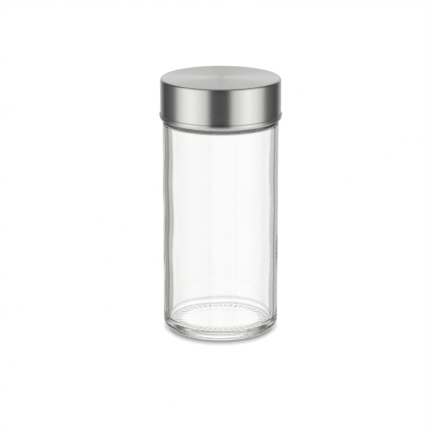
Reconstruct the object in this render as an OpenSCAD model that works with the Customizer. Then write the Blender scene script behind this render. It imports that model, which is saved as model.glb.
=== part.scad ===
// Round glass spice jar with a steel screw cap, standing on its base ring.
// Millimetres, +Z up, origin at the middle of the base on the table.

/* [Overall] */
// Height of the closed jar, from the table to the top of the cap
total_h = 95; // [85:1:140]
// Diameter over the cap's hemmed edge, the widest point of the jar
cap_d = 45; // [40:0.5:70]

/* [Glass jar] */
// Clearance between the glass body and the cap's skirt, which comes down round it
skirt_gap = 0.5; // [0.3:0.05:2]
// Thickness of the side wall
wall = 2.2; // [1.5:0.1:4]
// Height of the inside floor above the table, at its edge
floor_t = 3.6; // [2.5:0.1:8]
// How far the inside floor rises in the middle
floor_rise = 0.5; // [0.2:0.1:2]
// Width of the level strip round the risen floor
floor_strip_w = 1.2; // [0.5:0.1:4]
// Radius of the heel, where the outside wall turns under
heel_r = 3.6; // [1.5:0.1:5]
// Radius where the inside wall meets the floor
inner_heel_r = 2; // [1:0.1:6]
// Width of the flat ring that the jar stands on
base_ring_w = 3.3; // [1.5:0.1:5]
// Depth of the hollow under the base, at its middle
push_up = 0.3; // [0.2:0.1:2]
// How far the shoulder's ledge stands up inside the cap
ledge_in = 1.8; // [0.5:0.1:3]
// Radius of the shoulder's outer edge
shoulder_r = 2; // [0.5:0.1:4]
// Thickness of the glass under the shoulder's ledge
shoulder_t = 3.4; // [1.2:0.1:5]
// Radius inside, where the wall turns in under the shoulder
inner_shoulder_r = 1; // [0.5:0.1:2.5]
// Radius of the edge where the mouth opens into the body
mouth_edge_r = 1.2; // [0.3:0.1:2]
// Radius where the neck rises from the ledge
neck_fillet_r = 0.7; // [0.2:0.05:0.9]
// Thickness of the neck wall
neck_wall = 3; // [2:0.1:5]
// Rounding of the rim, inside and outside
rim_r = 0.8; // [0.3:0.05:1]

/* [Steel cap shell] */
// Height of the cap, hemmed edge included
cap_h = 15; // [12:0.5:25]
// Thickness of the steel sheet
sheet_t = 0.35; // [0.25:0.05:0.6]
// Radius of the drawn corner round the top
cap_edge_r = 1; // [0.8:0.1:3]
// Height of the hem, where the lower edge is folded out and up
hem_h = 1.8; // [1.2:0.1:4]
// Gap between the cap's side and the hem folded against it
hem_gap = 0.05; // [0.05:0.05:0.5]

/* [Threaded sleeve] */
// Thickness of the sleeve's wall
sleeve_wall = 2; // [1.2:0.05:3]
// Thickness of the sleeve's top plate
sleeve_top_t = 1.2; // [0.8:0.1:2.5]
// Room that the neck's thread takes outside the neck
thread_depth = 1.1; // [0.6:0.1:2]
// Clearance between the neck's thread and the sleeve
thread_gap = 0.4; // [0.2:0.05:0.8]
// Clearance between the sleeve's foot and the shoulder's ledge
foot_gap = 0.45; // [0.3:0.05:1]
// Chamfer where the sleeve slides over the neck
lead_in = 0.5; // [0.2:0.1:1]
// Thickness of the lip that keeps the seal in the cap
lip_t = 0.5; // [0.3:0.05:0.8]
// How far that lip reaches in under the seal
lip_reach = 0.5; // [0.2:0.05:0.7]

/* [Seal] */
// Thickness of the sealing disc
seal_t = 1; // [0.6:0.1:2.5]
// How far the disc reaches out past the neck
seal_over = 0.4; // [0.2:0.05:0.6]
// Clearance round the disc, which lies loose in the cap
seal_gap = 0.3; // [0.15:0.05:0.5]

/* [Sifter] */
// Thickness of the flange that lies on the rim
flange_t = 0.8; // [0.6:0.1:2]
// Depth of the well below the rim, down to the holed plate
well_depth = 5.3; // [4.5:0.1:9]
// Thickness of the well's wall
well_wall = 1.1; // [0.7:0.1:2]
// Thickness of the holed plate
plate_t = 1.2; // [0.8:0.1:2.5]
// Radius where the plate meets the well's wall
well_fillet_r = 1; // [0.3:0.1:2]
// Diameter of each hole
hole_d = 6.4; // [3:0.1:7.5]
// Number of holes round the middle one
hole_count = 6; // [4:1:7]
// Plate left between the outer holes and the well's wall
hole_edge = 1.85; // [1:0.05:3]

/* [Fits] */
// Clearance of pieces that are pressed together
press_gap = 0.05; // [0.02:0.01:0.1]

/* [Hidden] */
$fn = 96;
dome_fn = 720;
overcut = 1;

// Radii, from the hemmed edge inwards
shell_r = cap_d / 2 - sheet_t - hem_gap;
shell_inner_r = shell_r - sheet_t;
body_r = shell_inner_r - skirt_gap;
sleeve_r = shell_inner_r - press_gap;
sleeve_bore_r = sleeve_r - sleeve_wall;
neck_r = sleeve_bore_r - thread_gap - thread_depth;
mouth_r = neck_r - neck_wall;
seal_r = neck_r + seal_over;
seal_pocket_r = seal_r + seal_gap;
lip_bore_r = seal_r - lip_reach;
flange_r = neck_r - rim_r;
plug_r = mouth_r - press_gap;
well_r = plug_r - well_wall;
hole_ring_r = well_r - hole_edge - hole_d / 2;
inner_r = body_r - wall;

// Heights, from the cap's top downwards
sleeve_top = total_h - sheet_t;
seal_top = sleeve_top - sleeve_top_t;
seal_low = seal_top - seal_t;
lip_top = seal_low - lip_t / 2;
lip_low = lip_top - lip_t;
rim_z = seal_low - flange_t;
plate_top = rim_z - well_depth;
plate_low = plate_top - plate_t;
cap_low = total_h - cap_h;
ledge_z = cap_low + ledge_in;
cavity_top = ledge_z - shoulder_t;
sleeve_low = ledge_z + foot_gap;

// Hem: the fold is a half ring, and the sheet's end is rounded
fold_inner_r = hem_gap / 2;
fold_r = fold_inner_r + sheet_t;
fold_x = shell_r + fold_inner_r;
fold_z = cap_low + fold_r;
hem_top = cap_low + hem_h;
hem_x = shell_r + hem_gap;

// Base: the ring lies inside the heel, and the hollow and the risen floor are caps of large spheres
ring_outer_r = body_r - heel_r;
ring_inner_r = ring_outer_r - base_ring_w;
hollow_r = (pow(ring_inner_r, 2) + pow(push_up, 2)) / (2 * push_up);
floor_edge_r = inner_r - inner_heel_r - floor_strip_w;
floor_dome_r = (pow(floor_edge_r, 2) + pow(floor_rise, 2)) / (2 * floor_rise);

// The shoulder's rounding can't be wider than its ledge
ledge_w = body_r - neck_r - neck_fillet_r;
shoulder_round = min(shoulder_r, ledge_w);

// What a rounding takes off a corner: out is 1 where the material lies towards the axis and -1 where
// it lies away from it, up is 1 for an upper corner and -1 for a lower one
module corner_cut(x, z, radius, out, up) {
    translate([x, z])
        mirror([out > 0 ? 0 : 1, 0])
            mirror([0, up > 0 ? 0 : 1])
                difference() {
                    translate([-radius, -radius]) square(radius + overcut);
                    translate([-radius, -radius]) circle(radius);
                }
}

// What a fillet adds in the corner between a level face and a wall that rises from it on the axis side
module fillet(x, z, radius) {
    difference() {
        translate([x - overcut, z - overcut]) square(radius + overcut);
        translate([x + radius, z + radius]) circle(radius);
    }
}

// Half section of a round block, from the axis out to a radius, with its two outer corners rounded
module barrel(radius, low, high, low_round, high_round) {
    difference() {
        translate([0, low]) square([radius, high - low]);
        if (low_round > 0) corner_cut(radius, low, low_round, 1, -1);
        if (high_round > 0) corner_cut(radius, high, high_round, 1, 1);
    }
}

// Half section of a ring between two radii
module ring(inside, outside, low, high) {
    translate([inside, low]) square([outside - inside, high - low]);
}

// Space inside the glass, up to the mouth, over the risen floor
module cavity_section() {
    difference() {
        barrel(inner_r, floor_t, cavity_top, inner_heel_r, inner_shoulder_r);
        translate([0, floor_t + floor_rise - floor_dome_r]) circle(floor_dome_r, $fn = dome_fn);
    }
}

// Glass: body, shoulder and neck outside, cavity and mouth inside, hollow under the base
module jar_section() {
    difference() {
        union() {
            barrel(body_r, 0, ledge_z, heel_r, shoulder_round);
            barrel(neck_r, cavity_top, rim_z, 0, rim_r);
            fillet(neck_r, ledge_z, neck_fillet_r);
        }
        cavity_section();
        barrel(mouth_r, cavity_top - overcut, rim_z + overcut, 0, 0);
        corner_cut(mouth_r, rim_z, rim_r, -1, 1);
        corner_cut(mouth_r, cavity_top, mouth_edge_r, -1, -1);
        intersection() {
            translate([0, push_up - hollow_r]) circle(hollow_r, $fn = dome_fn);
            translate([0, -overcut]) square([ring_outer_r, push_up + 2 * overcut]);
        }
    }
}

// Sheet of the cap: a drawn cup whose lower edge is folded out and up into a flat hem
module shell_section() {
    difference() {
        barrel(shell_r, fold_z, total_h, 0, cap_edge_r);
        barrel(shell_inner_r, fold_z - overcut, total_h - sheet_t, 0, cap_edge_r - sheet_t);
    }
    difference() {
        translate([fold_x, fold_z]) circle(fold_r);
        translate([fold_x, fold_z]) circle(fold_inner_r);
        translate([shell_inner_r - overcut, fold_z]) square(2 * fold_r + 2 * overcut);
    }
    difference() {
        ring(hem_x, hem_x + sheet_t, fold_z, hem_top);
        corner_cut(hem_x, hem_top, sheet_t / 2, -1, 1);
        corner_cut(hem_x + sheet_t, hem_top, sheet_t / 2, 1, 1);
    }
}

// Sleeve in the cap: top plate, pocket and lip for the seal, and the bore that goes over the neck
module sleeve_section() {
    difference() {
        barrel(sleeve_r, sleeve_low, sleeve_top, 0, cap_edge_r - sheet_t + press_gap);
        barrel(sleeve_bore_r, sleeve_low - overcut, lip_low, 0, 0);
        barrel(lip_bore_r, sleeve_low, seal_low, 0, 0);
        barrel(seal_pocket_r, lip_top, seal_top, 0, 0);
        polygon([
            [sleeve_bore_r - overcut, sleeve_low - overcut],
            [sleeve_bore_r + lead_in + overcut, sleeve_low - overcut],
            [sleeve_bore_r - overcut, sleeve_low + lead_in + overcut]
        ]);
    }
}

// Sifter: flange on the rim, well in the mouth and plate at the well's foot
module sifter_section() {
    ring(well_r, flange_r, rim_z, seal_low);
    difference() {
        barrel(plug_r, plate_low, rim_z + flange_t / 2, well_wall / 2, 0);
        barrel(well_r, plate_top, seal_low + overcut, well_fillet_r, 0);
    }
}

module sifter_hole() {
    translate([0, 0, plate_low - overcut]) cylinder(d = hole_d, h = plate_t + 2 * overcut);
}

module jar_glass() {
    color([0.80, 0.88, 0.86, 0.45]) rotate_extrude() jar_section();
}

module sifter_insert() {
    color([0.94, 0.94, 0.92])
        difference() {
            rotate_extrude() sifter_section();
            sifter_hole();
            for (i = [0 : hole_count - 1])
                rotate(i * 360 / hole_count) translate([hole_ring_r, 0, 0]) sifter_hole();
        }
}

module cap_seal() {
    color([0.97, 0.97, 0.95]) translate([0, 0, seal_low]) cylinder(r = seal_r, h = seal_t);
}

module cap_sleeve() {
    color([0.90, 0.90, 0.88]) rotate_extrude() sleeve_section();
}

module cap_shell() {
    color([0.74, 0.74, 0.72]) rotate_extrude() shell_section();
}

jar_glass();
sifter_insert();
cap_seal();
cap_sleeve();
cap_shell();
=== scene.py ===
"""Looks of a round glass spice jar with a brushed steel screw cap."""

import math

import bmesh
import bpy
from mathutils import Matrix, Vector


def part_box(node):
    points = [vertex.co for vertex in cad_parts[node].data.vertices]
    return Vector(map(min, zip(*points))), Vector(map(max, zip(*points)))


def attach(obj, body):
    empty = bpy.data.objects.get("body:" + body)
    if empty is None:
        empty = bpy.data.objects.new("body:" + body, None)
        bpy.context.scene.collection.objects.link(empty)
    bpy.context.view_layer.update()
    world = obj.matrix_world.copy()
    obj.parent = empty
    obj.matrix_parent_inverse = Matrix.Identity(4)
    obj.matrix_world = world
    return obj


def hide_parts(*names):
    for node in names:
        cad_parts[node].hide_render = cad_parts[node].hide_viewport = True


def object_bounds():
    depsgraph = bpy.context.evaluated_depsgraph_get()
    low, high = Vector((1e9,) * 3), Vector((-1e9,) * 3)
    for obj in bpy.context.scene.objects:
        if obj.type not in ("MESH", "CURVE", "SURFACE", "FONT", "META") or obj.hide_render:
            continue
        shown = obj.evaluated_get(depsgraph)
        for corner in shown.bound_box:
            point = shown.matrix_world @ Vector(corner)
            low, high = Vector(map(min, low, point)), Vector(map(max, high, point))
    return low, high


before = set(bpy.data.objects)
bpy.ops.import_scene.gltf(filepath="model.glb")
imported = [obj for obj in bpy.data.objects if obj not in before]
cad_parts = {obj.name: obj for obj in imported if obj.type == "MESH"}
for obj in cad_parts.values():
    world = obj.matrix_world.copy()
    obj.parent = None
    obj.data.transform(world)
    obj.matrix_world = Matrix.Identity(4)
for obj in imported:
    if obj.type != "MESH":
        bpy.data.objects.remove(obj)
cad_low, cad_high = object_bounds()

# A millimetre, and a distance that counts as none
MM = 0.001
NEARLY = 0.001 * MM

# Photograph's frame and the camera that was fitted to the jar's edges in it
IMAGE_SIZE = 430
FOCAL_PIXELS = 2105.8
SENSOR_MM = 36.0
CAMERA_DISTANCE = 0.7806
CAMERA_ELEVATION = math.radians(15.06)
JAR_CENTRE_PIXEL = (220.6, 203.0)
CLIP_NEAR = 0.05
CLIP_FAR = 20.0

# Sizes that the frame gives
_, jar_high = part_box("jar_glass")
shell_low, shell_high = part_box("cap_shell")
sleeve_box_low, sleeve_box_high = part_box("cap_sleeve")
seal_box_low, seal_box_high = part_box("cap_seal")
sifter_box_low, sifter_box_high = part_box("sifter_insert")
TOTAL_H = cad_high.z
BODY_R = jar_high.x
RIM_Z = jar_high.z
BEAD_R = shell_high.x
CAP_LOW = shell_low.z
SLEEVE_R = sleeve_box_high.x
SLEEVE_LOW = sleeve_box_low.z
SLEEVE_TOP = sleeve_box_high.z
SEAL_R = seal_box_high.x
SEAL_LOW = seal_box_low.z
SEAL_TOP = seal_box_high.z
FLANGE_R = sifter_box_high.x
PLATE_LOW = sifter_box_low.z

# Glass
WALL = 2.2 * MM
FLOOR_T = 3.6 * MM
FLOOR_RISE = 0.5 * MM
FLOOR_STRIP_W = 1.2 * MM
HEEL_R = 3.6 * MM
INNER_HEEL_R = 2.0 * MM
BASE_RING_W = 3.3 * MM
PUSH_UP = 0.3 * MM
LEDGE_IN = 1.8 * MM
SHOULDER_R = 2.0 * MM
SHOULDER_T = 3.4 * MM
INNER_SHOULDER_R = 1.0 * MM
NECK_FILLET_R = 0.7 * MM
NECK_WALL = 3.0 * MM
RIM_ROUND = 0.8 * MM
MOUTH_EDGE_R = 1.2 * MM

# Waves of the inside wall: share of the depth, waves in a round, radians for each metre up, and start
WAVE_DEPTH = 0.06 * MM
WAVES = [(0.35, 2, 90, 0.0), (0.25, 3, -140, 1.0), (0.40, 5, 260, 2.0)]
WAVE_FROM = 14 * MM
WAVE_TO = 66 * MM

# Dotted ring under the base; a dot rises between two values of a cosine that goes round with the count
STIPPLE_COUNT = 48
STIPPLE_DEPTH = 0.15 * MM
STIPPLE_FADE = 0.5 * MM
STIPPLE_RISE = (-0.2, 0.7)
STIPPLE_ROUGH = 0.2
STIPPLE_SHADE = 0.2
STIPPLE_SHADE_FADE = 0.4 * MM
STIPPLE_MARGIN = 0.05 * MM

# Shade where the inside wall settles into the floor
SETTLE_DROP = 0.3 * MM
SETTLE_W = 1.0 * MM
SETTLE_SHADE = 0.34
SETTLE_IN = 1.0 * MM
SETTLE_FULL_IN = 0.5 * MM
SETTLE_OUT = 0.5 * MM

# Painted shade: a thin dark line round the heel, standing in for the dark contact edge of the floor seen
# through the glass
HEEL_LINE_Z = 1.3 * MM
HEEL_LINE_W = 0.36 * MM
HEEL_LINE_SHADE = 0.6

# Clear glass
GLASS_IOR = 1.51
GLASS_DEPTH_COLOUR = (0.86, 0.89, 0.81)
GLASS_DEPTH_DENSITY = 8.0

# Light at the end of long paths, which run through the base and climb the far wall
DEEP_FROM = 3.5
DEEP_COLOUR = (0.97, 0.98, 0.95)
DEEP_GLOW = 0.95
DEEP_MIDDLE = 38 * MM
DEEP_REACH = 23 * MM
DEEP_NEAR = 3 * MM
DEEP_FAR = 12 * MM

# Cap
SHEET_T = 0.35 * MM
CAP_EDGE_R = 1.0 * MM
HEM_H = 1.8 * MM
HEM_GAP = 0.05 * MM
HEM_CURVE_R = 3.5 * MM
HEM_FOOT_R = 0.35 * MM
HEM_FOLD_FROM = -110
PRESS_GAP = 0.05 * MM
SLEEVE_WALL = 2.0 * MM
LEAD_IN = 0.5 * MM
LIP_T = 0.5 * MM
LIP_REACH = 0.5 * MM
SEAL_GAP = 0.3 * MM
SEAL_EDGE_R = 0.15 * MM

# Brushed steel; each brushing has a scale across it, a scale along it, and a detail
STEEL_DARK = (0.555, 0.555, 0.545)
STEEL_LIGHT = (0.615, 0.615, 0.605)
STEEL_ROUGH = (0.262, 0.278)
STEEL_STRETCH = 0.85
STEEL_STRETCH_TURN_SHARE = 0.25
FINE_LINES = (9000.0, 1.2, 3.0)
COARSE_LINES = (1800.0, 0.7, 4.0)
# Painted highlight: soft wedges of lighter and darker tone round the axis, given like a brushing
HIGHLIGHT_WEDGES = (0.0, 3.4, 2.0)
FINE_SHARE = 0.3
HIGHLIGHT_WEDGE_SHARE = 0.7
BRUSH_NOISE_ROUGH = 0.65
NOISE_SPAN = (0.3, 0.7)
STEEL_BUMP = 0.01
STEEL_BUMP_H = 0.02 * MM

# Screw thread, shared by the neck and the sleeve
THREAD_LEAD = 4.23 * MM
THREAD_TURNS = 1.25
THREAD_DEPTH = 1.1 * MM
THREAD_GAP = 0.4 * MM
THREAD_FOOT = 1.0 * MM
THREAD_CREST = 0.45 * MM
THREAD_PLAY = 0.3 * MM
THREAD_BELOW_RIM = 7.2 * MM
THREAD_FADE = math.radians(25)

# Sifter
WELL_DEPTH = 5.3 * MM
WELL_WALL = 1.1 * MM
WELL_FILLET_R = 1.0 * MM
HOLE_D = 6.4 * MM
HOLE_COUNT = 6
HOLE_EDGE = 1.85 * MM
HOLE_ROUND = 0.3 * MM
HOLE_CUT_PAST = 1.0 * MM
FLANGE_ROUND = 0.2 * MM

# Plastics and foam
MOTTLE_SCALE = 140.0
MOTTLE_DETAIL = 3.0
SKIN_DETAIL = 2.0
SKIN_ROUGH_SPREAD = 0.06
SKIN_BUMP = 0.15
SKIN_BUMP_H = 0.05 * MM
SOFT_REACH = (1.2 * MM, 1.1 * MM, 0.9 * MM)

# Each moulded piece: its two tones, roughness, softness and the scale of its surface grain
SLEEVE_LOOK = {
    "dark": (0.74, 0.74, 0.71),
    "light": (0.80, 0.80, 0.77),
    "roughness": 0.42,
    "subsurface": 0.08,
    "grain": 5000.0,
}
SEAL_LOOK = {
    "dark": (0.84, 0.84, 0.81),
    "light": (0.90, 0.90, 0.88),
    "roughness": 0.75,
    "subsurface": 0.2,
    "grain": 2200.0,
}
SIFTER_LOOK = {
    "dark": (0.80, 0.80, 0.77),
    "light": (0.86, 0.86, 0.84),
    "roughness": 0.28,
    "subsurface": 0.25,
    "grain": 4000.0,
}

# Painted glow of the pale plastics inside the closed cap, stronger at both sides
PLASTIC_GLOW = 0.06
SIDE_GLOW = 0.4
SIDE_GLOW_FROM = 18 * MM
SIDE_GLOW_TO = 20.5 * MM

# Worked out from the sizes above
CAP_R = BEAD_R - SHEET_T - HEM_GAP
SLEEVE_BORE_R = SLEEVE_R - SLEEVE_WALL
NECK_R = SLEEVE_BORE_R - THREAD_GAP - THREAD_DEPTH
MOUTH_R = NECK_R - NECK_WALL
INNER_R = BODY_R - WALL
LEDGE_Z = CAP_LOW + LEDGE_IN
CAVITY_TOP = LEDGE_Z - SHOULDER_T
RING_OUTER_R = BODY_R - HEEL_R
RING_INNER_R = RING_OUTER_R - BASE_RING_W
FLOOR_EDGE_R = INNER_R - INNER_HEEL_R - FLOOR_STRIP_W
INNER_HEEL_Z = FLOOR_T + INNER_HEEL_R
SETTLE_Z = INNER_HEEL_Z - SETTLE_DROP
THREAD_START_Z = RIM_Z - THREAD_BELOW_RIM
PLUG_R = MOUTH_R - PRESS_GAP
WELL_R = PLUG_R - WELL_WALL
PLATE_TOP = RIM_Z - WELL_DEPTH
HOLE_RING_R = WELL_R - HOLE_EDGE - HOLE_D / 2

# Fineness of the meshes, and the angles up to which they are shaded smooth
GLASS_SEGMENTS = 432
METAL_SEGMENTS = 256
PLASTIC_SEGMENTS = 192
CUTTER_SEGMENTS = 48
FLOOR_SEGMENTS = 96
SHARP_DEG = 35.0
GLASS_SHARP_DEG = 60.0
SIFTER_SHARP_DEG = 40.0

# Floor: its glow for the camera and for all other light, and its size
FLOOR_GLOW = 1.0
FLOOR_LIGHT = 1.04
FLOOR_R = 27 * MM

# Floor's shade: levels at millimetres from the axis, and at millimetres ahead of a circle within the foot
FOOT_SHADE = [(0.0, 1.0), (17.4, 1.0), (18.6, 0.85), (19.4, 0.64), (20.2, 0.60), (21.0, 0.82), (21.8, 1.0)]
FRONT_R = 19.5 * MM
FRONT_LOW = -1.6 * MM
FRONT_REACH = 8.0 * MM
FRONT_EDGE_W = 0.4 * MM
FRONT_SHADE = [
    (-1.6, 1.0), (-1.2, 0.30), (0.0, 0.37), (0.65, 0.46), (1.45, 0.55),
    (2.1, 0.65), (3.0, 0.76), (4.2, 0.88), (5.4, 1.0),
]

# Lamp
LAMP_SIZE = 1.2
LAMP_HEIGHT = 1.2
LAMP_POWER = 8.0

# Studio, here and below: levels at turns from the front, and spans of turns or elevations, all in degrees
STUDIO_TURN = 1.6

# What the steel mirrors, near the horizon and higher, the same to the left and to the right
STEEL_LOW = [
    (0, 0.03), (14, 0.03), (18, 0.16), (21, 0.50), (26, 0.94), (33, 1.08), (44, 1.30),
    (56, 1.52), (70, 1.34), (80, 1.12), (88, 0.88), (91, 0.64), (96, 0.32), (104, 0.18),
    (121, 0.12), (131, 0.08), (138, 0.12), (144, 0.28), (152, 0.46), (160, 0.60), (180, 0.70),
]
STEEL_HIGH = [
    (0, 0.06), (18, 0.08), (25, 0.90), (40, 1.15), (80, 1.15),
    (92, 0.60), (100, 0.10), (139, 0.10), (155, 0.80), (180, 0.95),
]
STEEL_HIGH_SPAN = (0, 18)
OVERHEAD_SPAN = (44, 62)
OVERHEAD_LEVEL = 0.20
GROUND_SPAN = (-27, -43)
GROUND_LEVEL = 1.00

# What the glass itself mirrors at the front, where the steel sees a dark gap
GLASS_FRONT = 0.95
GLASS_FRONT_TURN = (34, 14)

# What light that turned back inside the wall meets, low down and higher, to the left and to the right
SIDE_LEVEL = 0.45
GAP_LEFT = [
    (-180, 0.98), (-172, 0.84), (-166, 0.90), (-162, 0.90), (-158, 0.10), (-153, 0.23),
    (-148, 0.65), (-143, 0.36), (-138, 0.30), (-133, 0.45), (-90, SIDE_LEVEL),
]
GAP_RIGHT = [
    (90, SIDE_LEVEL), (133, 0.50), (138, 0.75), (143, 0.72), (148, 0.22), (153, 0.55),
    (157, 0.85), (162, 0.40), (166, 0.55), (173, 0.56), (180, 0.98),
]
UPPER_LEFT = [
    (-180, 0.76), (-160, 0.74), (-154, 0.60), (-149, 0.36), (-144, 0.16),
    (-137, 0.10), (-131, 0.40), (-120, 0.70), (-90, 0.95),
]
UPPER_RIGHT = [
    (90, 0.95), (120, 0.70), (133, 0.60), (138, 0.32), (143, 0.12),
    (151, 0.16), (156, 0.50), (160, 0.72), (180, 0.76),
]
UPPER_SPAN = (-11, -5)
GAP_TINT = (1.015, 1.0, 1.075)

# In front, the higher levels keep a share of their own and take the rest from one level
FRONT_GAP = 0.35
FRONT_LEVEL = 1.15
FRONT_EDGE = 0.1

# What light that crossed the jar's inside meets: pale gaps at the photograph's height, even levels beyond it
CROSSED_FROM = 2.5
PALE_LEFT = [
    (-180, 0.97), (-171, 0.92), (-168, 0.94), (-166, 1.04), (-163, 1.04),
    (-160, 0.38), (-151, 0.50), (-146, 0.85), (-138, 0.97),
]
PALE_RIGHT = [
    (142, 0.97), (150, 0.90), (154, 0.50), (158, 0.52), (161, 0.92),
    (164, 1.15), (168, 1.00), (171, 0.93), (175, 0.94), (180, 0.97),
]
STEEP_SPAN = (-20, -26)
CLEAR_LEVEL = 0.97
RISING_SPAN = (-10, -5)
RISING_LEVEL = 0.82

# What all light through the glass meets high up, dark but for the back
CEILING_SPAN = (24, 48)
CEILING_LEVEL = 0.18
CEILING_BACK = (150, 174)


# Shapes

def arc(x, z, radius, start, end, steps):
    """Points along an arc of a section, from one angle to another in degrees."""
    points = []
    for i in range(steps + 1):
        angle = math.radians(start + (end - start) * i / steps)
        points.append((x + radius * math.cos(angle), z + radius * math.sin(angle)))
    return points


def line(start, end, steps):
    """Points between two ends of a straight stretch, without the ends."""
    points = []
    for i in range(1, steps):
        t = i / steps
        points.append((start[0] + (end[0] - start[0]) * t, start[1] + (end[1] - start[1]) * t))
    return points


def dome_points(edge_r, edge_z, height, steps):
    """Points from the axis out to the edge of a shallow dome, the cap of a large sphere."""
    radius = (edge_r ** 2 + height ** 2) / (2 * height)
    points = []
    for i in range(steps + 1):
        x = edge_r * i / steps
        points.append((x, edge_z + height - radius + math.sqrt(radius ** 2 - x ** 2)))
    return points


def smooth_step(value, low, high):
    """0 below low, 1 above high, and a smooth rise between them."""
    t = min(max((value - low) / (high - low), 0.0), 1.0)
    return t * t * (3 - 2 * t)


def lathe(name, section, segments, shift=None, sharp_deg=SHARP_DEG):
    """A section turned round the axis. shift moves a point: (radius, z, angle) to (radius, z)."""
    vertices = []
    rows = []
    for radius, z in section:
        row = []
        if radius < NEARLY:
            row.append(len(vertices))
            vertices.append((0.0, 0.0, z))
        else:
            for i in range(segments):
                angle = 2 * math.pi * i / segments
                r, h = shift(radius, z, angle) if shift else (radius, z)
                row.append(len(vertices))
                vertices.append((r * math.cos(angle), r * math.sin(angle), h))
        rows.append(row)
    faces = []
    for low, high in zip(rows, rows[1:]):
        for i in range(segments):
            j = (i + 1) % segments
            if len(low) == 1:
                faces.append((low[0], high[j], high[i]))
            elif len(high) == 1:
                faces.append((low[i], low[j], high[0]))
            else:
                faces.append((low[i], low[j], high[j], high[i]))
    mesh = bpy.data.meshes.new(name)
    mesh.from_pydata(vertices, [], faces)
    finish_mesh(mesh, sharp_deg)
    piece = bpy.data.objects.new(name, mesh)
    bpy.context.scene.collection.objects.link(piece)
    return piece


def finish_mesh(mesh, sharp_deg):
    """Turns every face outwards and shades the mesh smooth up to an angle."""
    work = bmesh.new()
    work.from_mesh(mesh)
    bmesh.ops.recalc_face_normals(work, faces=work.faces)
    work.to_mesh(mesh)
    work.free()
    mesh.shade_smooth()
    mesh.set_sharp_from_angle(angle=math.radians(sharp_deg))


def thread_height(angle, z, start_z):
    """Height of the screw thread's ridge, from 0 to 1, at an angle and height."""
    height = 0.0
    full = THREAD_TURNS * 2 * math.pi
    for turn in range(math.ceil(THREAD_TURNS) + 1):
        along = angle + turn * 2 * math.pi
        if along > full:
            continue
        off = abs(z - start_z - THREAD_LEAD * along / (2 * math.pi))
        ridge = 1 - smooth_step(off, THREAD_CREST, THREAD_FOOT)
        ends = smooth_step(along, 0.0, THREAD_FADE) * (1 - smooth_step(along, full - THREAD_FADE, full))
        height = max(height, ridge * ends)
    return height


# Nodes

def calc(tree, operation, *values):
    """A math node whose inputs are sockets or plain numbers."""
    node = tree.nodes.new("ShaderNodeMath")
    node.operation = operation
    for socket, value in zip(node.inputs, values):
        if isinstance(value, (int, float)):
            socket.default_value = value
        else:
            tree.links.new(value, socket)
    return node.outputs[0]


def ramp(tree, value, stops, tint=(1.0, 1.0, 1.0)):
    """Levels along a value from 0 to 1. The tint is a power for each colour, so that white stays white."""
    node = tree.nodes.new("ShaderNodeValToRGB")
    elements = node.color_ramp.elements
    while len(elements) < len(stops):
        elements.new(0.5)
    for element, (place, level) in zip(elements, stops):
        element.position = place
        element.color = (level ** tint[0], level ** tint[1], level ** tint[2], 1.0)
    tree.links.new(value, node.inputs["Fac"])
    return node.outputs["Color"]


def rise(tree, value, low, high):
    """0 before low, 1 past high, and a smooth rise between them; high may be the smaller one."""
    node = tree.nodes.new("ShaderNodeMapRange")
    node.interpolation_type = "SMOOTHSTEP"
    node.inputs["From Min"].default_value = low
    node.inputs["From Max"].default_value = high
    tree.links.new(value, node.inputs["Value"])
    return node.outputs["Result"]


def spread(tree, value, low, high):
    """Maps the usual span of a noise to a range."""
    node = tree.nodes.new("ShaderNodeMapRange")
    node.inputs["From Min"].default_value = NOISE_SPAN[0]
    node.inputs["From Max"].default_value = NOISE_SPAN[1]
    node.inputs["To Min"].default_value = low
    node.inputs["To Max"].default_value = high
    tree.links.new(value, node.inputs["Value"])
    return node.outputs["Result"]


def blend(tree, factor, first, second):
    """A mix of two colours, each a socket, a colour or a grey level."""
    node = tree.nodes.new("ShaderNodeMix")
    node.data_type = "RGBA"
    tree.links.new(factor, node.inputs["Factor"])
    for key, value in (("A", first), ("B", second)):
        if isinstance(value, (int, float)):
            value = (value, value, value)
        if isinstance(value, tuple):
            node.inputs[key].default_value = (*value, 1.0)
        else:
            tree.links.new(value, node.inputs[key])
    return node.outputs["Result"]


def darker(tree, first, second):
    """The darker of two colours."""
    node = tree.nodes.new("ShaderNodeMix")
    node.data_type = "RGBA"
    node.blend_type = "DARKEN"
    node.inputs["Factor"].default_value = 1.0
    tree.links.new(first, node.inputs["A"])
    tree.links.new(second, node.inputs["B"])
    return node.outputs["Result"]


def object_place(tree):
    """Coordinates of a point of the object: the vector, its X, Y and Z, and its distance from the axis."""
    place = tree.nodes.new("ShaderNodeTexCoord")
    split = tree.nodes.new("ShaderNodeSeparateXYZ")
    tree.links.new(place.outputs["Object"], split.inputs[0])
    x, y, z = split.outputs
    squares = calc(tree, "ADD", calc(tree, "POWER", x, 2.0), calc(tree, "POWER", y, 2.0))
    return place.outputs["Object"], x, y, z, calc(tree, "SQRT", squares)


def noise(tree, vector, scale, detail):
    """A noise texture along a vector."""
    node = tree.nodes.new("ShaderNodeTexNoise")
    node.inputs["Scale"].default_value = scale
    node.inputs["Detail"].default_value = detail
    tree.links.new(vector, node.inputs["Vector"])
    return node


def add_bump(tree, shader, height, strength, distance):
    """Lets a height show as fine relief."""
    node = tree.nodes.new("ShaderNodeBump")
    node.inputs["Strength"].default_value = strength
    node.inputs["Distance"].default_value = distance
    tree.links.new(height, node.inputs["Height"])
    tree.links.new(node.outputs["Normal"], shader.inputs["Normal"])


def new_material(name):
    """An empty node material, its node tree and its principled shader."""
    material = bpy.data.materials.new(name)
    material.use_nodes = True
    return material, material.node_tree, material.node_tree.nodes["Principled BSDF"]


# Materials

def near_height(tree, z, middle, reach):
    """1 at a height, 0 beyond its reach, and a smooth fall between them."""
    off = calc(tree, "ABSOLUTE", calc(tree, "SUBTRACT", z, middle))
    return calc(tree, "SUBTRACT", 1.0, rise(tree, off, 0.0, reach))


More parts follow.
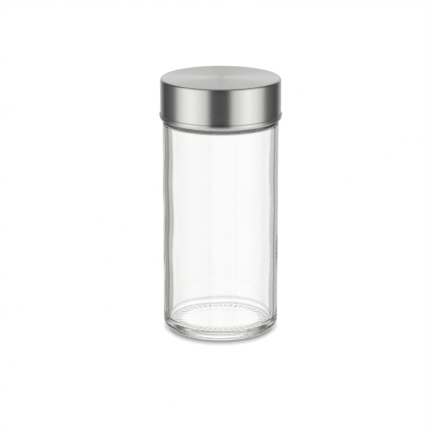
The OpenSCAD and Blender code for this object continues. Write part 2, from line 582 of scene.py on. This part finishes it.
def dotted_ring(tree, z, radius):
    """1 on the ring under the base that carries the dots."""
    underneath = calc(tree, "LESS_THAN", z, STIPPLE_DEPTH + STIPPLE_MARGIN)
    past_inside = rise(tree, radius, RING_INNER_R, RING_INNER_R + STIPPLE_SHADE_FADE)
    short_of_heel = rise(tree, radius, RING_OUTER_R, RING_OUTER_R - STIPPLE_SHADE_FADE)
    return calc(tree, "MULTIPLY", underneath, calc(tree, "MULTIPLY", past_inside, short_of_heel))


def settled_edge(tree, z, radius):
    """1 on the inside, where the wall settles into the floor."""
    near = near_height(tree, z, SETTLE_Z, SETTLE_W)
    on_wall = rise(tree, radius, INNER_R - SETTLE_IN, INNER_R - SETTLE_FULL_IN)
    on_inside = calc(tree, "LESS_THAN", radius, INNER_R + SETTLE_OUT)
    return calc(tree, "MULTIPLY", calc(tree, "MULTIPLY", near, on_wall), on_inside)


def deep_light(tree, x, z):
    """Light for paths that were turned back inside the glass too often to be followed further."""
    path = tree.nodes.new("ShaderNodeLightPath")
    deep = calc(tree, "GREATER_THAN", path.outputs["Glossy Depth"], DEEP_FROM)
    climbed = calc(tree, "COMPARE", z, DEEP_MIDDLE, DEEP_REACH)
    aside = calc(tree, "ABSOLUTE", x)
    lit = calc(tree, "MULTIPLY", climbed, rise(tree, aside, DEEP_FAR, DEEP_NEAR))
    return calc(tree, "MULTIPLY", calc(tree, "MULTIPLY", deep, lit), DEEP_GLOW)


def glass_material():
    """Clear glass, faintly tinted in depth, with painted shade on its dots, settled edge and heel line, and
    painted light of long paths.
    """
    material, tree, shader = new_material("clear_glass")
    shader.inputs["Roughness"].default_value = 0.0
    shader.inputs["IOR"].default_value = GLASS_IOR
    shader.inputs["Transmission Weight"].default_value = 1.0
    absorb = tree.nodes.new("ShaderNodeVolumeAbsorption")
    absorb.inputs["Color"].default_value = (*GLASS_DEPTH_COLOUR, 1.0)
    absorb.inputs["Density"].default_value = GLASS_DEPTH_DENSITY
    tree.links.new(absorb.outputs["Volume"], tree.nodes["Material Output"].inputs["Volume"])
    _, x, y, z, radius = object_place(tree)
    ring = dotted_ring(tree, z, radius)
    tree.links.new(calc(tree, "MULTIPLY", ring, STIPPLE_ROUGH), shader.inputs["Roughness"])
    angle = calc(tree, "ARCTAN2", y, x)
    around = calc(tree, "COSINE", calc(tree, "MULTIPLY", angle, STIPPLE_COUNT))
    dots = calc(tree, "MULTIPLY", ring, rise(tree, around, *STIPPLE_RISE))
    # Painted shade: the glass is darker on the dots under the base
    dark = calc(tree, "MULTIPLY", dots, STIPPLE_SHADE)
    dark = calc(tree, "MULTIPLY_ADD", settled_edge(tree, z, radius), SETTLE_SHADE, dark)
    # Painted shade: a thin dark line round the heel
    dark = calc(tree, "MULTIPLY_ADD", near_height(tree, z, HEEL_LINE_Z, HEEL_LINE_W), HEEL_LINE_SHADE, dark)
    tree.links.new(blend(tree, dark, 1.0, 0.0), shader.inputs["Base Color"])
    shader.inputs["Emission Color"].default_value = (*DEEP_COLOUR, 1.0)
    tree.links.new(deep_light(tree, x, z), shader.inputs["Emission Strength"])
    return material


def brushed_noise(tree, across, along, detail):
    """A noise that is fine across the brushing, which goes round the axis, and slow along it."""
    _, x, y, z, radius = object_place(tree)
    place = tree.nodes.new("ShaderNodeCombineXYZ")
    for key, value in (("X", x), ("Y", y)):
        unit = calc(tree, "DIVIDE", value, radius)
        tree.links.new(calc(tree, "MULTIPLY", unit, along), place.inputs[key])
    tree.links.new(calc(tree, "MULTIPLY", radius, across), place.inputs["Z"])
    node = noise(tree, place.outputs[0], 1.0, detail)
    node.noise_dimensions = "4D"
    node.inputs["Roughness"].default_value = BRUSH_NOISE_ROUGH
    tree.links.new(calc(tree, "MULTIPLY", z, across), node.inputs["W"])
    return node.outputs["Fac"]


def steel_material():
    """Steel brushed round the axis, with fine lines and soft wedges of painted highlight in two tones round
    the axis.
    """
    material, tree, shader = new_material("brushed_steel")
    shader.inputs["Metallic"].default_value = 1.0
    shader.inputs["Anisotropic"].default_value = STEEL_STRETCH
    shader.inputs["Anisotropic Rotation"].default_value = STEEL_STRETCH_TURN_SHARE
    fine = brushed_noise(tree, *FINE_LINES)
    coarse = brushed_noise(tree, *COARSE_LINES)
    # Painted highlight: lighter and darker wedges round the axis
    highlight_wedges = brushed_noise(tree, *HIGHLIGHT_WEDGES)
    tree.links.new(spread(tree, coarse, *STEEL_ROUGH), shader.inputs["Roughness"])
    lines = spread(tree, fine, 0.0, FINE_SHARE)
    level = calc(tree, "ADD", lines, spread(tree, highlight_wedges, 0.0, HIGHLIGHT_WEDGE_SHARE))
    tree.links.new(blend(tree, level, STEEL_DARK, STEEL_LIGHT), shader.inputs["Base Color"])
    add_bump(tree, shader, fine, STEEL_BUMP, STEEL_BUMP_H)
    tangent = tree.nodes.new("ShaderNodeTangent")
    tangent.direction_type = "RADIAL"
    tangent.axis = "Z"
    tree.links.new(tangent.outputs["Tangent"], shader.inputs["Tangent"])
    return material


def moulded_material(name, dark, light, roughness, subsurface, grain):
    """Moulded plastic or foam: faint mottling, a fine surface grain, some subsurface softness and a painted
    glow, stronger at both sides.
    """
    material, tree, shader = new_material(name)
    place, x, _, _, _ = object_place(tree)
    mottle = noise(tree, place, MOTTLE_SCALE, MOTTLE_DETAIL).outputs["Fac"]
    skin = noise(tree, place, grain, SKIN_DETAIL).outputs["Fac"]
    tree.links.new(blend(tree, mottle, dark, light), shader.inputs["Base Color"])
    rough = spread(tree, skin, roughness - SKIN_ROUGH_SPREAD, roughness + SKIN_ROUGH_SPREAD)
    tree.links.new(rough, shader.inputs["Roughness"])
    shader.inputs["Subsurface Weight"].default_value = subsurface
    shader.inputs["Subsurface Radius"].default_value = SOFT_REACH
    shader.inputs["Emission Color"].default_value = (*light, 1.0)
    # Painted glow, stronger towards the left and right sides
    aside = rise(tree, calc(tree, "ABSOLUTE", x), SIDE_GLOW_FROM, SIDE_GLOW_TO)
    glow = calc(tree, "MULTIPLY_ADD", aside, SIDE_GLOW, PLASTIC_GLOW)
    tree.links.new(glow, shader.inputs["Emission Strength"])
    add_bump(tree, shader, skin, SKIN_BUMP, SKIN_BUMP_H)
    return material


# Pieces

def glass_section():
    """Section of the glass: base, heel, wall, shoulder, neck and rim outside, then back down inside."""
    heel = arc(BODY_R - HEEL_R, HEEL_R, HEEL_R, -90, 0, steps=18)
    shoulder = arc(BODY_R - SHOULDER_R, LEDGE_Z - SHOULDER_R, SHOULDER_R, 0, 90, steps=12)
    foot = arc(NECK_R + NECK_FILLET_R, LEDGE_Z + NECK_FILLET_R, NECK_FILLET_R, 270, 180, steps=6)
    rim_out = arc(NECK_R - RIM_ROUND, RIM_Z - RIM_ROUND, RIM_ROUND, 0, 90, steps=8)
    rim_in = arc(MOUTH_R + RIM_ROUND, RIM_Z - RIM_ROUND, RIM_ROUND, 90, 180, steps=8)
    mouth = arc(MOUTH_R + MOUTH_EDGE_R, CAVITY_TOP + MOUTH_EDGE_R, MOUTH_EDGE_R, 180, 270, steps=8)
    turn_in_r = INNER_SHOULDER_R
    turn_in = arc(INNER_R - turn_in_r, CAVITY_TOP - turn_in_r, turn_in_r, 90, 0, steps=12)
    inner_heel = arc(INNER_R - INNER_HEEL_R, INNER_HEEL_Z, INNER_HEEL_R, 0, -90, steps=16)
    points = dome_points(RING_INNER_R, 0.0, PUSH_UP, steps=8)
    points += line(points[-1], heel[0], steps=12)
    points += heel + line(heel[-1], shoulder[0], steps=30) + shoulder
    points += foot + line(foot[-1], rim_out[0], steps=60)
    points += rim_out + rim_in + line(rim_in[-1], mouth[0], steps=6)
    points += mouth + turn_in + line(turn_in[-1], inner_heel[0], steps=30)
    points += inner_heel + dome_points(FLOOR_EDGE_R, FLOOR_T, FLOOR_RISE, steps=12)[::-1]
    return points


def shape_glass(radius, z, angle):
    """Adds the neck's thread, the dots under the base and the slight waviness of the inside wall."""
    outside_neck = radius > NECK_R - NEARLY and z > LEDGE_Z + NECK_FILLET_R / 2
    if outside_neck:
        return radius + THREAD_DEPTH * thread_height(angle, z, THREAD_START_Z), z
    on_ring = z < NEARLY and RING_INNER_R < radius < RING_OUTER_R
    if on_ring:
        ends = smooth_step(radius, RING_INNER_R, RING_INNER_R + STIPPLE_FADE)
        ends *= 1 - smooth_step(radius, RING_OUTER_R - STIPPLE_FADE, RING_OUTER_R)
        groove = smooth_step(math.cos(STIPPLE_COUNT * angle), *STIPPLE_RISE)
        return radius, STIPPLE_DEPTH * groove * ends
    wall_top = CAVITY_TOP - INNER_SHOULDER_R
    inside_wall = abs(radius - INNER_R) < NEARLY and INNER_HEEL_Z < z < wall_top
    if inside_wall:
        fade = smooth_step(z, INNER_HEEL_Z, WAVE_FROM) * (1 - smooth_step(z, WAVE_TO, wall_top))
        wave = 0.0
        for share, count, per_metre, start in WAVES:
            wave += share * math.sin(count * angle + per_metre * z + start)
        return radius + WAVE_DEPTH * fade * wave, z
    return radius, z


def make_jar():
    """The glass jar."""
    jar = lathe("glass_jar", glass_section(), GLASS_SEGMENTS, shape_glass, GLASS_SHARP_DEG)
    jar.data.materials.append(glass_material())
    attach(jar, "jar")
    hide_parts("jar_glass")


def shell_section():
    """Section of the steel: top and side outside, round the hem, whose face leans in, and up inside."""
    fold_inner_r = HEM_GAP / 2
    fold_r = fold_inner_r + SHEET_T
    fold_x = CAP_R + fold_inner_r
    fold_z = CAP_LOW + fold_r
    end_r = SHEET_T / 2
    face_top = CAP_LOW + HEM_H - end_r
    lean = math.asin((face_top - CAP_LOW - HEM_FOOT_R) / (HEM_CURVE_R - HEM_FOOT_R))
    lean_deg = math.degrees(lean)
    corner = arc(CAP_R - CAP_EDGE_R, TOTAL_H - CAP_EDGE_R, CAP_EDGE_R, 90, 0, steps=12)
    slit = arc(fold_x, fold_z, fold_inner_r, 180, 360, steps=6)
    hem_end = arc(BEAD_R - end_r, face_top, end_r, 180, 0, steps=8)
    face = arc(BEAD_R - HEM_CURVE_R, face_top, HEM_CURVE_R, 0, -lean_deg, steps=10)[1:]
    foot_x = face[-1][0] - HEM_FOOT_R * math.cos(lean)
    foot = arc(foot_x, CAP_LOW + HEM_FOOT_R, HEM_FOOT_R, -lean_deg, -90, steps=8)[1:]
    fold = arc(fold_x, fold_z, fold_r, HEM_FOLD_FROM, -180, steps=8)
    inner_r = CAP_EDGE_R - SHEET_T
    inner_corner = arc(CAP_R - CAP_EDGE_R, TOTAL_H - CAP_EDGE_R, inner_r, 0, 90, steps=8)
    top_inside = (0.0, TOTAL_H - SHEET_T)
    points = [(0.0, TOTAL_H)]
    points += line(points[0], corner[0], steps=16) + corner
    points += line(corner[-1], slit[0], steps=8) + slit + hem_end + face + foot + fold
    points += line(fold[-1], inner_corner[0], steps=6) + inner_corner
    points += line(inner_corner[-1], top_inside, steps=8) + [top_inside]
    return points


def make_shell():
    """The cap's drawn steel shell."""
    shell = lathe("steel_shell", shell_section(), METAL_SEGMENTS)
    shell.data.materials.append(steel_material())
    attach(shell, "cap")
    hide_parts("cap_shell")


def sleeve_section():
    """Section of the sleeve: top plate, seal pocket, lip and bore inside, then up the outside."""
    lip_top = SEAL_LOW - LIP_T / 2
    lip_low = lip_top - LIP_T
    lip_r = SEAL_R - LIP_REACH
    pocket_r = SEAL_R + SEAL_GAP
    corner_r = CAP_EDGE_R - SHEET_T + PRESS_GAP
    corner = arc(SLEEVE_R - corner_r, SLEEVE_TOP - corner_r, corner_r, 0, 90, steps=6)
    bore_low = (SLEEVE_BORE_R, SLEEVE_LOW + LEAD_IN)
    bore_top = (SLEEVE_BORE_R, lip_low)
    points = [(0.0, SEAL_TOP)]
    points += line(points[0], (pocket_r, SEAL_TOP), steps=8)
    points += [(pocket_r, SEAL_TOP), (pocket_r, lip_top), (lip_r, lip_top), (lip_r, lip_low), bore_top]
    points += line(bore_top, bore_low, steps=56)
    points += [bore_low, (SLEEVE_BORE_R + LEAD_IN, SLEEVE_LOW), (SLEEVE_R, SLEEVE_LOW)]
    points += corner
    points += line(corner[-1], (0.0, SLEEVE_TOP), steps=8) + [(0.0, SLEEVE_TOP)]
    return points


def shape_sleeve(radius, z, angle):
    """Adds the inside thread, which lies just under the neck's thread when the cap is shut."""
    in_bore = abs(radius - SLEEVE_BORE_R) < NEARLY
    if not in_bore:
        return radius, z
    drop = THREAD_FOOT + THREAD_CREST + THREAD_PLAY
    return radius - THREAD_DEPTH * thread_height(angle, z, THREAD_START_Z - drop), z


def make_sleeve():
    """The moulded sleeve with the inside thread, pressed into the shell."""
    sleeve = lathe("cap_thread_sleeve", sleeve_section(), PLASTIC_SEGMENTS, shape_sleeve)
    sleeve.data.materials.append(moulded_material("sleeve_plastic", **SLEEVE_LOOK))
    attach(sleeve, "cap")
    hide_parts("cap_sleeve")


def make_seal():
    """The foam disc that lies loose in the cap."""
    low = arc(SEAL_R - SEAL_EDGE_R, SEAL_LOW + SEAL_EDGE_R, SEAL_EDGE_R, -90, 0, steps=4)
    high = arc(SEAL_R - SEAL_EDGE_R, SEAL_TOP - SEAL_EDGE_R, SEAL_EDGE_R, 0, 90, steps=4)
    section = [(0.0, SEAL_LOW)] + line((0.0, SEAL_LOW), low[0], steps=12) + low
    section += high + line(high[-1], (0.0, SEAL_TOP), steps=12) + [(0.0, SEAL_TOP)]
    seal = lathe("seal_disc", section, PLASTIC_SEGMENTS)
    seal.data.materials.append(moulded_material("seal_foam", **SEAL_LOOK))
    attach(seal, "seal")
    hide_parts("cap_seal")


def sifter_section():
    """Section of the sifter before its holes: plate and well inside, flange, then down the outside."""
    fillet = arc(WELL_R - WELL_FILLET_R, PLATE_TOP + WELL_FILLET_R, WELL_FILLET_R, -90, 0, steps=8)
    lip = arc(WELL_R + FLANGE_ROUND, SEAL_LOW - FLANGE_ROUND, FLANGE_ROUND, 180, 90, steps=4)
    edge = arc(FLANGE_R - FLANGE_ROUND, SEAL_LOW - FLANGE_ROUND, FLANGE_ROUND, 90, 0, steps=4)
    foot_r = WELL_WALL / 2
    foot = arc(PLUG_R - foot_r, PLATE_LOW + foot_r, foot_r, 0, -90, steps=6)
    points = [(0.0, PLATE_TOP)]
    points += fillet + lip + edge + [(FLANGE_R, RIM_Z), (PLUG_R, RIM_Z)]
    points += foot + [(0.0, PLATE_LOW)]
    return points


def hole_section():
    """Section of the cutter of one hole, which rounds the plate's edges too."""
    hole_r = HOLE_D / 2
    reach = hole_r + HOLE_ROUND
    low = arc(reach, PLATE_LOW + HOLE_ROUND, HOLE_ROUND, 270, 180, steps=6)
    high = arc(reach, PLATE_TOP - HOLE_ROUND, HOLE_ROUND, 180, 90, steps=6)
    below = (reach, PLATE_LOW - HOLE_CUT_PAST)
    above = (reach, PLATE_TOP + HOLE_CUT_PAST)
    return [(0.0, below[1]), below] + low + high + [above, (0.0, above[1])]


def make_sifter():
    """The sifter, with one hole in the middle and a ring of holes round it."""
    sifter = lathe("sifter", sifter_section(), PLASTIC_SEGMENTS)
    places = [(0.0, 0.0)]
    for i in range(HOLE_COUNT):
        angle = 2 * math.pi * i / HOLE_COUNT
        places.append((HOLE_RING_R * math.cos(angle), HOLE_RING_R * math.sin(angle)))
    for x, y in places:
        cutter = lathe("sifter_cutter", hole_section(), CUTTER_SEGMENTS)
        cutter.location = (x, y, 0.0)
        cut = sifter.modifiers.new("hole", "BOOLEAN")
        cut.operation = "DIFFERENCE"
        cut.solver = "EXACT"
        cut.object = cutter
        bpy.context.view_layer.update()
        graph = bpy.context.evaluated_depsgraph_get()
        solved = bpy.data.meshes.new_from_object(sifter.evaluated_get(graph))
        sifter.modifiers.clear()
        sifter.data = solved
        bpy.data.objects.remove(cutter)
    finish_mesh(sifter.data, SIFTER_SHARP_DEG)
    sifter.data.materials.clear()
    sifter.data.materials.append(moulded_material("sifter_plastic", **SIFTER_LOOK))
    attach(sifter, "jar")
    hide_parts("sifter_insert")


# Stage

def make_floor():
    """White floor that glows like a light table, shaded round the foot and, for the camera, ahead of it."""
    floor = lathe("floor", [(0.0, 0.0), (FLOOR_R, 0.0)], FLOOR_SEGMENTS)
    material, tree, shader = new_material("floor_white")
    shader.inputs["Base Color"].default_value = (0.0, 0.0, 0.0, 1.0)
    shader.inputs["Specular IOR Level"].default_value = 0.0
    _, x, y, _, radius = object_place(tree)
    share = calc(tree, "DIVIDE", radius, FLOOR_R)
    foot = ramp(tree, share, [(place * MM / FLOOR_R, level) for place, level in FOOT_SHADE])
    half_chord = calc(tree, "SQRT", calc(tree, "SUBTRACT", FRONT_R ** 2, calc(tree, "POWER", x, 2.0)))
    ahead = calc(tree, "SUBTRACT", calc(tree, "MULTIPLY", y, -1.0), half_chord)
    reach = calc(tree, "DIVIDE", calc(tree, "SUBTRACT", ahead, FRONT_LOW), FRONT_REACH)
    front_stops = [((place * MM - FRONT_LOW) / FRONT_REACH, level) for place, level in FRONT_SHADE]
    front = ramp(tree, reach, front_stops)
    beside = rise(tree, calc(tree, "ABSOLUTE", x), FRONT_R - FRONT_EDGE_W, FRONT_R)
    both = darker(tree, foot, blend(tree, beside, front, 1.0))
    to_camera = tree.nodes.new("ShaderNodeLightPath").outputs["Is Camera Ray"]
    tree.links.new(blend(tree, to_camera, foot, both), shader.inputs["Emission Color"])
    glow = calc(tree, "MULTIPLY_ADD", to_camera, FLOOR_GLOW - FLOOR_LIGHT, FLOOR_LIGHT)
    tree.links.new(glow, shader.inputs["Emission Strength"])
    floor.data.materials.append(material)
    floor.visible_glossy = False


def make_lamp():
    """Large soft light overhead for the matt surfaces."""
    data = bpy.data.lights.new("overhead", "AREA")
    data.size = LAMP_SIZE
    data.energy = LAMP_POWER
    lamp = bpy.data.objects.new("overhead", data)
    lamp.location = (0.0, 0.0, LAMP_HEIGHT)
    lamp.visible_glossy = False
    lamp.visible_transmission = False
    lamp.visible_camera = False
    bpy.context.scene.collection.objects.link(lamp)


def climb(tree, height, span):
    """A rise over a span of elevations, from the height of a direction of length 1."""
    low, high = (math.sin(math.radians(degrees)) for degrees in span)
    return rise(tree, height, low, high)


def studio_turn(tree, x, towards):
    """Turn of a direction from the studio's front to the right, in radians."""
    return calc(tree, "ADD", calc(tree, "ARCTAN2", x, towards), math.radians(STUDIO_TURN))


def either_way(tree, turn, levels):
    """Levels at turns from the front, the same to the left and to the right."""
    share = calc(tree, "DIVIDE", calc(tree, "ABSOLUTE", turn), math.pi)
    return ramp(tree, share, [(degrees / 180, level) for degrees, level in levels])


def all_round(tree, turn, levels):
    """Tinted levels at turns from the front, to the left and to the right."""
    share = calc(tree, "MULTIPLY_ADD", turn, 0.5 / math.pi, 0.5)
    return ramp(tree, share, [(0.5 + degrees / 360, level) for degrees, level in levels], GAP_TINT)


def turn_rise(tree, turn, span):
    """A rise over a span of turns from the front, to either side."""
    share = calc(tree, "DIVIDE", calc(tree, "ABSOLUTE", turn), math.pi)
    return rise(tree, share, span[0] / 180, span[1] / 180)


def mirrored_studio(tree, turn, height, path):
    """What the steel and the glass mirror: bright boxes at both front sides and a backdrop, with dark gaps.

    The glass alone mirrors a pale front, because its reflections are sharp and the steel's are not.
    """
    low = either_way(tree, turn, STEEL_LOW)
    high = either_way(tree, turn, STEEL_HIGH)
    studio = blend(tree, climb(tree, height, STEEL_HIGH_SPAN), low, high)
    studio = blend(tree, climb(tree, height, OVERHEAD_SPAN), studio, OVERHEAD_LEVEL)
    studio = blend(tree, climb(tree, height, GROUND_SPAN), studio, GROUND_LEVEL)
    at_front = turn_rise(tree, turn, GLASS_FRONT_TURN)
    sharp_front = calc(tree, "MULTIPLY", at_front, path.outputs["Is Singular Ray"])
    return blend(tree, sharp_front, studio, GLASS_FRONT)


def turned_back_studio(tree, x, y, towards, height):
    """What light that turned back inside the wall meets: dark gaps, the same in front as behind."""
    folded = studio_turn(tree, x, calc(tree, "MULTIPLY", calc(tree, "ABSOLUTE", y), -1.0))
    lower = all_round(tree, folded, GAP_LEFT + GAP_RIGHT)
    upper = all_round(tree, folded, UPPER_LEFT + UPPER_RIGHT)
    in_front = calc(tree, "MULTIPLY", rise(tree, towards, -FRONT_EDGE, FRONT_EDGE), 1.0 - FRONT_GAP)
    upper = blend(tree, in_front, upper, FRONT_LEVEL)
    return blend(tree, climb(tree, height, UPPER_SPAN), lower, upper)


def crossing_studio(tree, turn, height):
    """What light that crossed the jar's inside meets: pale gaps at the photograph's height, even beyond."""
    pale = all_round(tree, turn, PALE_LEFT + PALE_RIGHT)
    pale = blend(tree, climb(tree, height, STEEP_SPAN), pale, CLEAR_LEVEL)
    return blend(tree, climb(tree, height, RISING_SPAN), pale, RISING_LEVEL)


def make_world():
    """Studio round the jar. Its levels depend on the path that light took, and the camera sees white."""
    world = bpy.data.worlds.new("studio")
    bpy.context.scene.world = world
    world.use_nodes = True
    tree = world.node_tree
    place = tree.nodes.new("ShaderNodeTexCoord")
    split = tree.nodes.new("ShaderNodeSeparateXYZ")
    tree.links.new(place.outputs["Generated"], split.inputs[0])
    x, y, height = split.outputs
    towards = calc(tree, "MULTIPLY", y, -1.0)
    turn = studio_turn(tree, x, towards)
    path = tree.nodes.new("ShaderNodeLightPath")
    crossed = calc(tree, "GREATER_THAN", path.outputs["Transmission Depth"], CROSSED_FROM)
    turned_back = turned_back_studio(tree, x, y, towards, height)
    around = blend(tree, crossed, turned_back, crossing_studio(tree, turn, height))
    ceiling = blend(tree, turn_rise(tree, turn, CEILING_BACK), CEILING_LEVEL, 1.0)
    through = blend(tree, climb(tree, height, CEILING_SPAN), around, ceiling)
    mirrored = mirrored_studio(tree, turn, height, path)
    inside = blend(tree, path.outputs["Is Transmission Ray"], mirrored, through)
    seen = blend(tree, path.outputs["Is Camera Ray"], inside, 1.0)
    tree.links.new(seen, tree.nodes["Background"].inputs["Color"])


def make_camera():
    """Camera at the photograph's viewing angle, aimed so that the jar stands where it does there."""
    centre = Vector((0.0, 0.0, TOTAL_H / 2))
    back = Vector((0.0, -math.cos(CAMERA_ELEVATION), math.sin(CAMERA_ELEVATION)))
    right = Vector((1.0, 0.0, 0.0))
    up = back.cross(right)
    metres_per_pixel = CAMERA_DISTANCE / FOCAL_PIXELS
    off_right = (JAR_CENTRE_PIXEL[0] - IMAGE_SIZE / 2) * metres_per_pixel
    off_up = (IMAGE_SIZE / 2 - JAR_CENTRE_PIXEL[1]) * metres_per_pixel
    target = centre - right * off_right - up * off_up
    data = bpy.data.cameras.new("camera")
    data.sensor_width = SENSOR_MM
    data.lens = SENSOR_MM * FOCAL_PIXELS / IMAGE_SIZE
    data.clip_start = CLIP_NEAR
    data.clip_end = CLIP_FAR
    camera = bpy.data.objects.new("camera", data)
    camera.location = centre + back * CAMERA_DISTANCE
    camera.rotation_mode = "QUATERNION"
    camera.rotation_quaternion = (target - camera.location).to_track_quat("-Z", "Y")
    bpy.context.scene.collection.objects.link(camera)
    bpy.context.scene.camera = camera


make_camera()
make_jar()
make_sifter()
make_seal()
make_sleeve()
make_shell()
make_floor()
make_lamp()
make_world()
bpy.context.scene.view_settings.view_transform = "Standard"
